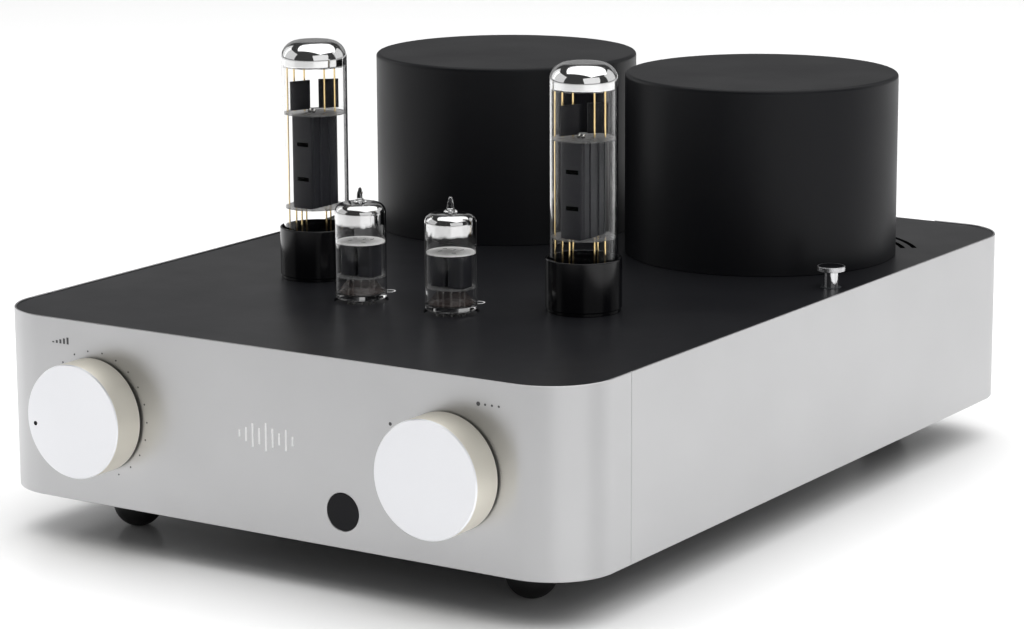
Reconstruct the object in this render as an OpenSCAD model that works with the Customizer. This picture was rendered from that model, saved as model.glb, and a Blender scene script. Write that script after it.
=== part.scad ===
// Integrated valve amplifier: an aluminium band round a steel chassis, two round transformer
// covers, two power valves and two small valves in sockets, two knobs and a mushroom power button.
// X runs to the right seen from the front, Y from front to back, Z up. The feet stand on Z = 0.

/* [Chassis] */
// Width of the aluminium band
body_w = 298.5; // [290:0.5:310]
// Depth of the band, from its front face to its rear face
body_d = 400.5; // [395:0.5:410]
// Height of the band
band_h = 79; // [77:0.5:84]
// Outside radius of the band's upright corners
corner_r = 28; // [24:0.5:30]
// Thickness of the fascia and the side panels
wall = 2.4; // [2.2:0.1:2.8]
// Thickness of the band's rim round the top plate
rim = 0.9; // [0.7:0.1:1.2]
// Distance from the front face to the seam between the fascia and the side panels
seam_y = 42.2; // [38:0.2:46]
// Height of the feet, from the table to the bottom of the band
foot_h = 20.5; // [18:0.5:24]
// Radius of the rubber feet's domes
foot_r = 11; // [10:0.5:12]
// Sideways distance of the feet from the middle
foot_x = 102.5; // [95:0.5:105]
// Distance of the feet from the band's front and rear faces
foot_inset = 41.5; // [38:0.5:45]

/* [Covers] */
// Sideways distance of the round covers from the middle
cover_x = 70.3; // [68:0.1:72]
// Distance of the covers' centres from the front face
cover_y = 290.2; // [286:0.2:294]
// Outside radius of the covers
cover_r = 63; // [62:0.5:64]
// Height of the covers above the top plate
cover_h = 84.2; // [80:0.2:90]

/* [Valves] */
// Sideways distance of the power valves from the middle
power_x = 70.6; // [66:0.1:75]
// Distance of the power valves from the front face
power_y = 133.4; // [128:0.2:138]
// Outside radius of a power valve's bulb
power_r = 14.7; // [14.4:0.1:15]
// Height of a power valve above the top plate
power_h = 107; // [106:0.1:109]
// Radius of a power valve's base
base_r = 16.45; // [16.2:0.05:17]
// Height of a power valve's base
base_h = 23; // [22:0.5:24]
// Sideways distance of the small valves from the middle
small_x = 23.6; // [22:0.1:26]
// Distance of the small valves from the front face
small_y = 101.6; // [98:0.2:104]
// Outside radius of a small valve's bulb
small_r = 11.2; // [11:0.05:11.3]
// Height of a small valve's bulb above the top plate, without its tip
small_h = 43.4; // [42.5:0.1:44]

/* [Controls] */
// Sideways distance of the knobs from the middle
knob_x = 89.7; // [86:0.1:92]
// Radius of the knobs
knob_r = 24.6; // [22:0.1:26]
// Length of the knobs
knob_l = 15; // [14:0.5:18]
// Gap between a knob and the fascia
knob_gap = 1.2; // [1:0.1:2]
// Sideways distance of the receiver window from the middle
window_x = 38.2; // [34:0.1:42]
// Height of the receiver window above the bottom of the band
window_z = 15.3; // [14:0.1:20]
// Radius of the receiver window
window_r = 7.9; // [7:0.1:8.5]
// Sideways distance of the power button from the middle
button_x = 138; // [130:0.1:139]
// Distance of the power button from the front face
button_y = 232; // [226:0.2:240]

/* [Hidden] */
$fn = 96;
eps = 0.01;
knob_reach = knob_gap + knob_l;
rear_reach = 20;
front_y = (knob_reach - body_d - rear_reach) / 2;
band_top = foot_h + band_h;
plate_drop = 0.5;
plate_t = 2;
plate_top = band_top - plate_drop;
plate_under = plate_top - plate_t;
plate_gap = 0.1;
seat_gap = 0.2;
floor_rise = 1;
floor_t = 1.6;
floor_under = foot_h + floor_rise;
floor_top = floor_under + floor_t;
knob_z = foot_h + band_h / 2;

// Rear wall
rear_half = body_w / 2 - corner_r - 14;
rear_lap = 10;
rear_t = 1.5;
rear_face = body_d - wall;
rear_screw_dz = band_h / 2 - 10;
inlet_x = 78;
inlet_z = foot_h + 38;
inlet_w = 27;
inlet_h = 34;
flange_w = 33;
flange_h = 41;
flange_t = 3;
inlet_deep = 26;
socket_w = 24;
socket_h = 16.4;
socket_deep = 16;
socket_z = inlet_z - 6.5;
drawer_w = 22;
drawer_h = 7;
drawer_z = inlet_z + 11;
drawer_l = 20;
cradle_l = 20.6;
cradle_w = 6;
jack_x = [-40, -22, -4];
jack_z = [foot_h + 28, foot_h + 48];
jack_r = 4.15;
jack_out = 9.5;
post_x = [-94, -75, 18, 37];
post_z = foot_h + 38;
post_r = 3;
post_cap_r = 7.6;
post_bore_r = 2.02;
post_bore_l = 12;
collar_l = 3.5;

// Inner frame
frame_x = 128;
frame_y = [52, 200, 352];
frame_r = 4;
screw_r = 2;
head_r = 3.6;
head_t = 2.2;

// Power valve
glass_t = 1;
dome_r = 9;
mica_t = 0.4;
power_mica_low = 31.8;
power_mica_high = 74.2;
anode_w = 14.4;
anode_d = 15;
anode_t = 0.5;
rod_r = 0.55;
power_rods = [[-9.6, -5.6], [9.6, -5.6], [-9.6, 5.6], [9.6, 5.6], [0, -10.2], [0, 10.2]];
fin_top = 89;
pin_ring_r = 8.75;
octal_pin_r = 1.2;
octal_pin_l = 11;
key_r = 3.9;
key_l = 14;

// Small valve
small_mica_low = 10.7;
small_mica_high = 25.7;
noval_ring_r = 5.95;
noval_pin_r = 0.5;
noval_pin_l = 7;
noval_hole_r = 12;
noval_drop = 1.2;

// Mushroom power button
stem_r = 3.2;
mushroom_r = 6.2;
mushroom_t = 2.2;
button_h = 9.6;
button_travel = 3;
bezel_t = 0.8;

// ---- Shapes that repeat ----

// A block with rounded upright corners, centred on X, from Y = 0 to Y = d.
module rounded_block(w, d, h, r) {
    translate([-w / 2 + r, 0, 0]) cube([w - 2 * r, d, h]);
    translate([-w / 2, r, 0]) cube([w, d - 2 * r, h]);
    for (x = [-w / 2 + r, w / 2 - r], y = [r, d - r])
        translate([x, y, 0]) cylinder(h = h, r = r);
}

// A cylinder along Y from y = y0 to y = y1.
module rod_y(x, y0, y1, z, r) {
    translate([x, y0, z]) rotate([-90, 0, 0]) cylinder(h = y1 - y0, r = r);
}

// A flat ring standing on Z = 0.
module ring(outer, inner, h) {
    difference() {
        cylinder(h = h, r = outer);
        translate([0, 0, -1]) cylinder(h = h + 2, r = inner);
    }
}

// A hexagonal nut with a round bore, standing on Z = 0.
module hex_nut(across, inner, h) {
    difference() {
        cylinder(h = h, r = across / sqrt(3), $fn = 6);
        translate([0, 0, -1]) cylinder(h = h + 2, r = inner);
    }
}

// Points of a quarter arc from the +X direction to the +Z direction.
function quarter(cx, cz, r, n = 12) =
    [for (i = [0:n]) [cx + r * cos(90 * i / n), cz + r * sin(90 * i / n)]];

module front_frame() {
    translate([0, front_y, 0]) children();
}

module power_place(side) {
    translate([side * power_x, front_y + power_y, plate_top]) children();
}

// A power valve stands a hair above the plate, so that it lifts out freely.
module power_valve_place(side) {
    power_place(side) translate([0, 0, seat_gap]) children();
}

module small_place(side) {
    translate([side * small_x, front_y + small_y, plate_top]) children();
}

module cover_place(side) {
    translate([side * cover_x, front_y + cover_y, plate_top]) children();
}

// ---- Band ----

// The whole band, with a rebate inside its top edge for the top plate.
module band() {
    translate([0, 0, foot_h]) difference() {
        rounded_block(body_w, body_d, band_h, corner_r);
        translate([0, wall, -1])
            rounded_block(body_w - 2 * wall, body_d - 2 * wall, band_h + 2, corner_r - wall);
        translate([0, rim, plate_under - foot_h])
            rounded_block(body_w - 2 * rim, body_d - 2 * rim, band_h, corner_r - rim);
    }
}

module front_fascia() {
    seam_gap = 0.3;
    front_frame() color("silver") difference() {
        intersection() {
            band();
            translate([-body_w, -1, 0]) cube([2 * body_w, seam_y - seam_gap + 1, band_top + 1]);
        }
        for (side = [-1, 1]) rod_y(side * knob_x, -1, wall + 1, knob_z, 5);
        rod_y(window_x, -1, wall + 1, foot_h + window_z, window_r + 0.1);
    }
}

module side_panel(side) {
    front_frame() color("silver") difference() {
        intersection() {
            band();
            translate([side > 0 ? 0 : -body_w, seam_y, 0]) cube([body_w, body_d, band_top + 1]);
        }
        translate([-rear_half, body_d - wall - 1, 0]) cube([2 * rear_half, wall + 2, band_top + 1]);
        for (z = [-1, 1])
            rod_y(side * (rear_half + rear_lap / 2), rear_face - 1, body_d + 1, knob_z + z * rear_screw_dz, 1.7);
    }
}

module top_plate() {
    in = rim + plate_gap;
    tab_w = 2 * rear_half - 0.6;
    vent_w = 2.4;
    vent_r = [cover_r + 4.4, cover_r + 9.8];
    front_frame() color("#1c1c1e") difference() {
        union() {
            translate([0, in, plate_under])
                rounded_block(body_w - 2 * in, body_d - 2 * in, plate_t, corner_r - in);
            translate([-tab_w / 2, body_d - 10, plate_under]) cube([tab_w, 10, plate_t]);
        }
        for (side = [-1, 1]) {
            translate([side * power_x, power_y, plate_under - 1]) cylinder(h = plate_t + 2, r = 14.2);
            translate([side * small_x, small_y, plate_under - 1]) cylinder(h = plate_t + 2, r = noval_hole_r);
            translate([side * cover_x, cover_y, plate_under - 1]) cylinder(h = plate_t + 2, r = 4.2);
            for (r = vent_r) translate([side * cover_x, cover_y, plate_under - 1])
                rotate([0, 0, side > 0 ? 36 : 99]) rotate_extrude(angle = 45)
                    translate([r - vent_w / 2, 0]) square([vent_w, plate_t + 2]);
        }
        translate([button_x, button_y, plate_under - 1]) cylinder(h = plate_t + 2, r = stem_r + 1.5);
    }
}

module bottom_plate() {
    in = wall + plate_gap;
    front_frame() color("#1c1c1e") difference() {
        translate([0, in, floor_under])
            rounded_block(body_w - 2 * in, body_d - 2 * in, floor_t, corner_r - in);
        for (y = [90:9:162], x = [-70, 0, 70])
            translate([x - 27, y, floor_under - 1]) cube([54, 3, floor_t + 2]);
        for (x = [-frame_x, frame_x], y = frame_y)
            translate([x, y, floor_under - 1]) cylinder(h = floor_t + 2, r = screw_r + 0.3);
        for (x = [-foot_x, foot_x], y = [foot_inset, body_d - foot_inset])
            translate([x, y, floor_under - 1]) cylinder(h = floor_t + 2, r = screw_r + 0.3);
        translate([0, cover_y, floor_under - 1]) cylinder(h = floor_t + 2, r = 4.2);
    }
}

module rear_panel() {
    lift = floor_top + 0.2;
    front_frame() color("#1c1c1e") difference() {
        translate([-rear_half - rear_lap, rear_face - rear_t, lift])
            cube([2 * (rear_half + rear_lap), rear_t, plate_under - 0.2 - lift]);
        translate([inlet_x - inlet_w / 2 - 0.2, rear_face - 5, inlet_z - inlet_h / 2 - 0.2])
            cube([inlet_w + 0.4, 10, inlet_h + 0.4]);
        for (x = jack_x, z = jack_z) rod_y(x, rear_face - 5, rear_face + 5, z, 3.1);
        for (x = post_x) rod_y(x, rear_face - 5, rear_face + 5, post_z, 4.6);
        for (side = [-1, 1], z = [-1, 1])
            rod_y(side * (rear_half + rear_lap / 2), rear_face - 5, rear_face + 5, knob_z + z * rear_screw_dz, 1.55);
    }
}

module seam_brackets() {
    color("gainsboro") for (side = [-1, 1]) front_frame()
        translate([side > 0 ? body_w / 2 - wall - 2 : -body_w / 2 + wall, seam_y - 11, foot_h + 10])
            cube([2, 22, band_h - 20]);
}

module frame_posts() {
    color("gainsboro") front_frame() for (x = [-frame_x, frame_x], y = frame_y)
        translate([x, y, floor_top]) difference() {
            cylinder(h = plate_under - floor_top, r = frame_r);
            translate([0, 0, -1]) cylinder(h = 12, r = screw_r + 0.02);
        }
}

// A socket-head screw along +Z, its head's seat at Z = 0 and its shank above it.
module screw_up(length, shank = screw_r) {
    socket_l = 1.3;
    difference() {
        union() {
            translate([0, 0, -head_t]) cylinder(h = head_t, r = head_r);
            translate([0, 0, -head_t / 2]) cylinder(h = length + head_t / 2, r = shank);
        }
        translate([0, 0, -head_t - 1]) cylinder(h = socket_l + 1, r = 1.4, $fn = 6);
    }
}

module chassis_screws() {
    color("#2a2a2c") front_frame() {
        for (x = [-frame_x, frame_x], y = frame_y)
            translate([x, y, floor_under]) screw_up(10);
        for (side = [-1, 1], z = [-1, 1])
            translate([side * (rear_half + rear_lap / 2), body_d, knob_z + z * rear_screw_dz])
                rotate([90, 0, 0]) screw_up(7, 1.5);
    }
}

module feet() {
    tread_r = 3;
    centre_z = sqrt(foot_r * foot_r - tread_r * tread_r);
    color("#141414") front_frame()
        for (x = [-foot_x, foot_x], y = [foot_inset, body_d - foot_inset])
            translate([x, y, 0]) difference() {
                union() {
                    translate([0, 0, centre_z]) sphere(r = foot_r);
                    translate([0, 0, centre_z]) cylinder(h = floor_under - centre_z, r = foot_r);
                }
                translate([-20, -20, -20]) cube([40, 40, 20]);
                translate([0, 0, 9]) cylinder(h = 4, r = head_r + 0.2);
                translate([0, 0, 12]) cylinder(h = 20, r = screw_r + 0.1);
            }
}

module foot_screws() {
    color("gray") front_frame()
        for (x = [-foot_x, foot_x], y = [foot_inset, body_d - foot_inset]) {
            translate([x, y, 13]) screw_up(floor_top - 13 + 5);
            translate([x, y, floor_top]) hex_nut(7, screw_r, 3);
        }
}

// ---- Receiver window ----

module receiver_window() {
    color("#0a0a0c") front_frame() {
        rod_y(window_x, 0, wall, foot_h + window_z, window_r);
        rod_y(window_x, wall, wall + 1.5, foot_h + window_z, window_r + 2);
    }
}

module receiver_board() {
    color("#1d4d2b") front_frame() {
        translate([window_x - 12, wall + 8, foot_h + 5]) cube([24, 1.6, 24]);
        translate([window_x - 3, wall + 3, foot_h + window_z - 3]) cube([6, 5, 6]);
    }
}

// ---- Transformer covers and transformers ----

module transformer_cover(side) {
    t = 1.5;
    edge = 1.6;
    cover_place(side) color("#1a1a1c") rotate_extrude() difference() {
        polygon(concat([[0, 0], [cover_r, 0]], quarter(cover_r - edge, cover_h - edge, edge, 6), [[0, cover_h]]));
        translate([-1, -1]) square([cover_r - t + 1, cover_h - t + 1]);
    }
}

// A wound toroid standing on Z = 0, with its wrapped corners rounded.
module toroid(outer, inner, h) {
    round_r = 8;
    rotate_extrude() union() {
        translate([inner, round_r]) square([outer - inner, h - 2 * round_r]);
        translate([inner + round_r, 0]) square([outer - inner - 2 * round_r, h]);
        for (x = [inner + round_r, outer - round_r], z = [round_r, h - round_r])
            translate([x, z]) circle(r = round_r, $fn = 48);
    }
}

toroid_pad = 3;
output_h = 66;
mains_h = 48;

module output_toroid(side) {
    cover_place(side) translate([0, 0, toroid_pad]) color("#c9a24a") toroid(54, 14, output_h);
}

module mains_toroid() {
    front_frame() translate([0, cover_y, floor_top + toroid_pad]) color("#c9a24a") toroid(52, 14, mains_h);
}

// Rubber pads below and above each toroid, and the dished steel washer on top.
module toroid_stack(h) {
    ring(44, 4.4, toroid_pad);
    translate([0, 0, toroid_pad + h]) ring(44, 4.4, toroid_pad);
    translate([0, 0, 2 * toroid_pad + h]) ring(42, 4.4, 1.5);
}

module toroid_washers() {
    color("dimgray") {
        for (side = [-1, 1]) cover_place(side) toroid_stack(output_h);
        front_frame() translate([0, cover_y, floor_top]) toroid_stack(mains_h);
    }
}

// A bolt down through a toroid, its head on top and a nut under the plate.
module toroid_bolt(h, plate) {
    top = 2 * toroid_pad + h + 1.5;
    translate([0, 0, -plate - 8]) cylinder(h = top + plate + 8, r = 4);
    translate([0, 0, top]) cylinder(h = 5, r = 13 / sqrt(3), $fn = 6);
    translate([0, 0, -plate - 6.5]) hex_nut(13, 4, 6.5);
}

module toroid_bolts() {
    color("lightgray") {
        for (side = [-1, 1]) cover_place(side) toroid_bolt(output_h, plate_t);
        front_frame() translate([0, cover_y, floor_top]) toroid_bolt(mains_h, floor_t);
    }
}

// ---- Power valves ----

// Half section of a domed bulb's outside, from its foot at z0 to its crown at z1.
function bulb_outline(r, z0, z1, edge) =
    concat([[0, z0], [r, z0]], quarter(r - edge, z1 - edge, edge), [[0, z1]]);

module power_bulb(side) {
    foot = 2;
    power_valve_place(side) color([0.9, 0.95, 1, 0.3]) rotate_extrude() difference() {
        polygon(bulb_outline(power_r, foot, power_h, dome_r));
        polygon(bulb_outline(power_r - glass_t, foot + 6, power_h - glass_t, dome_r - glass_t));
    }
}

module power_base(side) {
    lip = 1.2;
    power_valve_place(side) color("#101012") {
        difference() {
            cylinder(h = base_h, r = base_r);
            translate([0, 0, 2]) cylinder(h = base_h, r = power_r + 0.02);
            translate([0, 0, base_h - lip]) cylinder(h = lip + 1, r = base_r - 0.8);
            for (i = [0:7]) rotate([0, 0, 22.5 + 45 * i])
                translate([pin_ring_r, 0, -1]) cylinder(h = 4, r = octal_pin_r);
        }
        translate([0, 0, -key_l]) difference() {
            cylinder(h = key_l + 1, r = key_r);
            translate([0, 0, -1]) cylinder(h = key_l, r = key_r - 1.2);
        }
        translate([0, key_r - 0.4, -key_l]) translate([-0.8, 0, 0]) cube([1.6, 1.4, key_l]);
    }
}

module power_pins(side) {
    power_valve_place(side) color("#c8c8cc") for (i = [0:7]) rotate([0, 0, 22.5 + 45 * i])
        translate([pin_ring_r, 0, -octal_pin_l]) cylinder(h = octal_pin_l + 2, r = octal_pin_r);
}

// A folded sheet anode, open at both ends, with flanges at its sides and two slots in front.
module power_anode(side) {
    low = power_mica_low + mica_t + 0.1;
    h = power_mica_high - low - 0.1;
    fold = 2.2;
    power_valve_place(side) color("#3a3a40") {
        translate([0, 0, low]) difference() {
            union() {
                translate([0, -anode_d / 2, 0]) rounded_block(anode_w, anode_d, h, fold);
                translate([-anode_w / 2 - 2.6, -0.5, 0]) cube([anode_w + 5.2, 1, h]);
            }
            translate([0, -anode_d / 2 + anode_t, -1])
                rounded_block(anode_w - 2 * anode_t, anode_d - 2 * anode_t, h + 2, fold - anode_t);
            for (z = [11.3, 27.1]) translate([-1.8, -anode_d / 2 - 1, z]) cube([4.6, 3, 1.9]);
        }
        for (s = [-1, 1]) translate([s * 7, 0, power_mica_high + mica_t + 0.8]) rotate([0, 0, -s * 20])
            translate([-5, -0.3, 0]) cube([10, 0.6, fin_top - power_mica_high - mica_t - 0.8]);
    }
}

module power_micas(side) {
    mica_r = power_r - glass_t - 0.15;
    power_valve_place(side) color("#e6e2d6") for (z = [power_mica_low, power_mica_high])
        translate([0, 0, z]) difference() {
            cylinder(h = mica_t, r = mica_r);
            for (p = power_rods)
                translate([p[0], p[1], -1]) cylinder(h = 2, r = rod_r + 0.05, $fn = 24);
        }
}

module power_rods(side) {
    foot_z = 8;
    tops = [92, 92, 84, 84, 80, 80];
    power_valve_place(side) color("#c99a3c") for (i = [0:len(power_rods) - 1])
        translate([power_rods[i][0], power_rods[i][1], foot_z])
            cylinder(h = tops[i] - foot_z, r = rod_r, $fn = 24);
}

// ---- Small valves ----

module small_bulb(side) {
    foot = 1;
    tip_h = 6.2;
    small_place(side) color([0.9, 0.95, 1, 0.3]) {
        rotate_extrude() difference() {
            polygon(bulb_outline(small_r, foot, small_h, 6.4));
            polygon(bulb_outline(small_r - glass_t, foot + 2, small_h - glass_t, 5.7));
        }
        translate([0, 0, small_h - eps]) {
            cylinder(h = 1, r1 = 3, r2 = 1.5, $fn = 48);
            cylinder(h = tip_h - 1.4, r = 1.4, $fn = 48);
            translate([0, 0, tip_h - 1.4]) sphere(r = 1.4, $fn = 48);
        }
    }
}

module small_pins(side) {
    small_place(side) color("#b8b8bc") for (i = [0:8]) rotate([0, 0, 90 + 36 * (i + 1)])
        translate([noval_ring_r, 0, 0]) {
            translate([0, 0, -noval_pin_l]) cylinder(h = noval_pin_l + 1, r = noval_pin_r, $fn = 24);
            translate([0, 0, 3]) cylinder(h = small_mica_low - 3, r = 0.3, $fn = 16);
        }
}

module small_anodes(side) {
    low = small_mica_low + mica_t + 0.1;
    h = small_mica_high - low - 0.1;
    small_place(side) color("#3a3a40") for (s = [-1, 1]) translate([s * 4.5, 0, low]) difference() {
        translate([0, -4.4, 0]) rounded_block(7.8, 8.8, h, 1.6);
        translate([0, -4, -1]) rounded_block(7, 8, h + 2, 1.2);
    }
}

module small_micas(side) {
    small_place(side) color("#e6e2d6") for (z = [small_mica_low, small_mica_high])
        translate([0, 0, z]) cylinder(h = mica_t, r = small_r - glass_t - 0.15);
}

// ---- Sockets under the top plate ----

socket_grip = 0.06;

module octal_sockets() {
    seat_r = 14;
    color("#2b2622") for (side = [-1, 1]) power_place(side) translate([0, 0, -plate_t - 12]) difference() {
        union() {
            cylinder(h = plate_t + 12 - 0.1, r = seat_r);
            cylinder(h = 11.9, r = 19);
        }
        translate([0, 0, -5]) cylinder(h = 30, r = key_r + 1.6);
        for (i = [0:7]) rotate([0, 0, 22.5 + 45 * i])
            translate([pin_ring_r, 0, -1]) cylinder(h = 30, r = octal_pin_r + 0.6);
    }
}

module noval_sockets() {
    color("#16161a") for (side = [-1, 1]) small_place(side) translate([0, 0, -plate_t - 10]) difference() {
        union() {
            cylinder(h = plate_t + 10 - noval_drop, r = noval_hole_r - 0.2);
            cylinder(h = 9.9, r = 14);
        }
        translate([0, 0, -5]) cylinder(h = 30, r = 2);
        for (i = [0:8]) rotate([0, 0, 90 + 36 * (i + 1)])
            translate([noval_ring_r, 0, -1]) cylinder(h = 30, r = noval_pin_r + 0.45);
    }
}

module socket_contacts() {
    color("#d8b45a") for (side = [-1, 1]) {
        power_place(side) for (i = [0:7]) rotate([0, 0, 22.5 + 45 * i])
            translate([pin_ring_r, 0, -plate_t - 15]) ring(octal_pin_r + 0.55, octal_pin_r + socket_grip, 13);
        small_place(side) for (i = [0:8]) rotate([0, 0, 90 + 36 * (i + 1)])
            translate([noval_ring_r, 0, -plate_t - 12]) ring(noval_pin_r + 0.42, noval_pin_r + socket_grip, 10);
    }
}

// ---- Knobs, potentiometer and selector ----

bush_r = 4.6;
shaft_r = 3;
shaft_play = 0.05;
hollow_r = 10;
hollow_l = 4;
shaft_in = 9;

module knob(side) {
    edge = 0.5;
    front_frame() translate([side * knob_x, -knob_gap, knob_z]) rotate([90, 0, 0]) difference() {
        union() {
            cylinder(h = knob_l - edge, r = knob_r);
            translate([0, 0, knob_l - edge]) cylinder(h = edge, r1 = knob_r, r2 = knob_r - edge);
        }
        translate([0, 0, -1]) cylinder(h = hollow_l + 1, r = hollow_r);
        translate([0, 0, -1]) cylinder(h = knob_l - 3, r = shaft_r + shaft_play);
    }
}

module shaft(side) {
    front_frame() rod_y(side * knob_x, -knob_gap - 10, wall + shaft_in, knob_z, shaft_r);
}

// A panel-mounted rotary part: its body behind the fascia, a bush through it and a nut in front.
module rotary_body(side, w, h, l) {
    nut_t = 2.2;
    front_frame() translate([side * knob_x, 0, knob_z]) {
        difference() {
            union() {
                translate([-w / 2, wall, -h / 2]) cube([w, l, h]);
                rotate([90, 0, 0]) translate([0, 0, -wall - 1]) cylinder(h = wall + 3.6, r = bush_r);
            }
            rotate([90, 0, 0]) translate([0, 0, -wall - shaft_in - 0.3])
                cylinder(h = wall + shaft_in + 6, r = shaft_r + shaft_play);
        }
        rotate([90, 0, 0]) hex_nut(12, bush_r, nut_t);
    }
}

module volume_knob() {
    color("whitesmoke") knob(-1);
}

module source_knob() {
    color("whitesmoke") knob(1);
}

module volume_shaft() {
    color("silver") shaft(-1);
}

module source_shaft() {
    color("silver") shaft(1);
}

// The potentiometer has a gearbox and a motor behind it.
module volume_pot() {
    color("#3b6b4a") rotary_body(-1, 27, 27, 24);
    color("silver") front_frame() rod_y(-knob_x, wall + 24, wall + 48, knob_z, 9);
}

module selector_switch() {
    color("#4a4a52") rotary_body(1, 28, 28, 22);
}

// ---- Power button ----

module power_button() {
    under = plate_t + 12;
    front_frame() translate([button_x, button_y, plate_top]) color("silver") {
        translate([0, 0, -under + button_travel + 1])
            cylinder(h = under - button_travel - 1 + button_h - mushroom_t, r = stem_r);
        translate([0, 0, button_h - mushroom_t]) cylinder(h = mushroom_t - 0.4, r = mushroom_r);
        translate([0, 0, button_h - 0.4]) cylinder(h = 0.4, r1 = mushroom_r, r2 = mushroom_r - 0.4);
    }
}

module power_switch() {
    side_w = 15;
    inset = -7;
    front_frame() translate([button_x, button_y, plate_top]) color("#222226") difference() {
        union() {
            translate([inset - side_w / 2, -side_w / 2, -plate_t - 26]) cube([side_w, side_w, 26]);
            translate([0, 0, -plate_t - 16]) cylinder(h = 16 + plate_t + bezel_t - 0.6, r = stem_r + 1.4);
        }
        translate([0, 0, -plate_t - 12.1]) cylinder(h = 30, r = stem_r + 0.06);
    }
}

// ---- Rear connectors ----

module mains_inlet() {
    chamfer = 4;
    front_frame() translate([inlet_x, rear_face, 0]) color("#17171a") {
        difference() {
            union() {
                translate([-flange_w / 2, 0, inlet_z - flange_h / 2]) cube([flange_w, flange_t, flange_h]);
                translate([-inlet_w / 2, -inlet_deep, inlet_z - inlet_h / 2]) cube([inlet_w, inlet_deep + 1, inlet_h]);
            }
            translate([0, flange_t - socket_deep, socket_z]) rotate([-90, 0, 0])
                linear_extrude(socket_deep + 1) polygon([
                    [-socket_w / 2, socket_h / 2], [socket_w / 2, socket_h / 2],
                    [socket_w / 2, -socket_h / 2 + chamfer], [socket_w / 2 - chamfer, -socket_h / 2],
                    [-socket_w / 2 + chamfer, -socket_h / 2], [-socket_w / 2, -socket_h / 2 + chamfer]
                ]);
            translate([-drawer_w / 2 - 0.15, flange_t - drawer_l - 0.2, drawer_z - drawer_h / 2 - 0.15])
                cube([drawer_w + 0.3, drawer_l + 1, drawer_h + 0.3]);
        }
        for (p = [[-7, -1.5], [0, 2.5], [7, -1.5]])
            translate([p[0] - 1, flange_t - socket_deep, socket_z + p[1] - 2]) cube([2, 9, 4]);
    }
}

module fuse_drawer() {
    front_frame() translate([inlet_x, rear_face + flange_t, drawer_z]) color("#232327") difference() {
        union() {
            translate([-drawer_w / 2, -drawer_l, -drawer_h / 2]) cube([drawer_w, drawer_l + 1, drawer_h]);
            translate([-3, 0, -drawer_h / 2]) cube([6, 2.2, 1.6]);
        }
        translate([-cradle_l / 2, -drawer_l + 3, -drawer_h / 2 + 1.2]) cube([cradle_l, cradle_w, drawer_h]);
    }
}

module input_jacks() {
    front_frame() color("#c9a24a") for (x = jack_x, z = jack_z) translate([x, rear_face, z]) rotate([-90, 0, 0]) {
        difference() {
            union() {
                translate([0, 0, -12]) cylinder(h = 12 + jack_out, r = 3);
                cylinder(h = 1.6, r = 5.6);
                translate([0, 0, 1.6]) cylinder(h = jack_out - 1.6, r = jack_r);
            }
            translate([0, 0, 1.5]) cylinder(h = jack_out, r = 1.65);
        }
        translate([0, 0, -rear_t - 2.5]) hex_nut(9, 3, 2.5);
    }
}

module speaker_posts() {
    front_frame() color("#c9a24a") for (x = post_x) translate([x, rear_face, post_z]) rotate([-90, 0, 0]) {
        difference() {
            union() {
                cylinder(h = collar_l, r = post_cap_r);
                translate([0, 0, -rear_t - 3]) cylinder(h = rear_t + 3.5, r = 4.5);
                translate([0, 0, -16]) cylinder(h = 16 + rear_reach + wall, r = post_r);
            }
            translate([0, 0, rear_reach + wall - post_bore_l]) cylinder(h = post_bore_l + 1, r = post_bore_r);
            translate([-10, 0, collar_l + 2.4]) rotate([0, 90, 0]) cylinder(h = 20, r = 1.3);
        }
        translate([0, 0, -rear_t - 5.5]) hex_nut(10, post_r, 2.5);
    }
}

module post_cap(index) {
    cap_l = rear_reach + wall - collar_l - 1.2;
    flutes = 12;
    front_frame() color(index % 2 == 0 ? "#8a1418" : "#151517")
        translate([post_x[index], rear_face + collar_l + 0.2, post_z]) rotate([-90, 0, 0]) difference() {
            union() {
                cylinder(h = cap_l - 2, r = post_cap_r);
                cylinder(h = cap_l, r = post_cap_r - 1.4);
            }
            translate([0, 0, -1]) cylinder(h = cap_l + 2, r = post_r + 0.06);
            for (i = [0:flutes - 1]) rotate([0, 0, 360 / flutes * i])
                translate([post_cap_r + 0.4, 0, 3]) cylinder(h = cap_l, r = 1, $fn = 24);
        }
}

// ---- Electronics ----

module main_board() {
    board_z = floor_top + 8;
    front_frame() {
        color("#1d4d2b") translate([-110, 72, board_z]) cube([220, 140, 1.6]);
        color("#20242c") for (x = [-78, -39, 39, 78]) translate([x, 172, board_z + 1.6]) cylinder(h = 38, r = 15);
        color("#b9a36b") for (x = [-60, -20, 20, 60])
            translate([x - 8, 122, board_z + 1.6]) cube([16, 9, 18]);
        color("gainsboro") for (x = [-100, 100], y = [80, 204])
            translate([x, y, floor_top]) cylinder(h = board_z - floor_top, r = 3);
    }
}

// ---- Nodes ----

front_fascia();
side_panel(-1);  // left_side_panel
side_panel(1);  // right_side_panel
top_plate();
bottom_plate();
rear_panel();
seam_brackets();
frame_posts();
chassis_screws();
feet();
foot_screws();
receiver_window();
receiver_board();
transformer_cover(-1);  // transformer_cover_left
transformer_cover(1);  // transformer_cover_right
output_toroid(-1);  // output_toroid_left
output_toroid(1);  // output_toroid_right
toroid_washers();
toroid_bolts();
mains_toroid();
power_bulb(-1);  // power_valve_left_bulb
power_base(-1);  // power_valve_left_base
power_pins(-1);  // power_valve_left_pins
power_anode(-1);  // power_valve_left_anode
power_micas(-1);  // power_valve_left_micas
power_rods(-1);  // power_valve_left_rods
power_bulb(1);  // power_valve_right_bulb
power_base(1);  // power_valve_right_base
power_pins(1);  // power_valve_right_pins
power_anode(1);  // power_valve_right_anode
power_micas(1);  // power_valve_right_micas
power_rods(1);  // power_valve_right_rods
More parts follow.
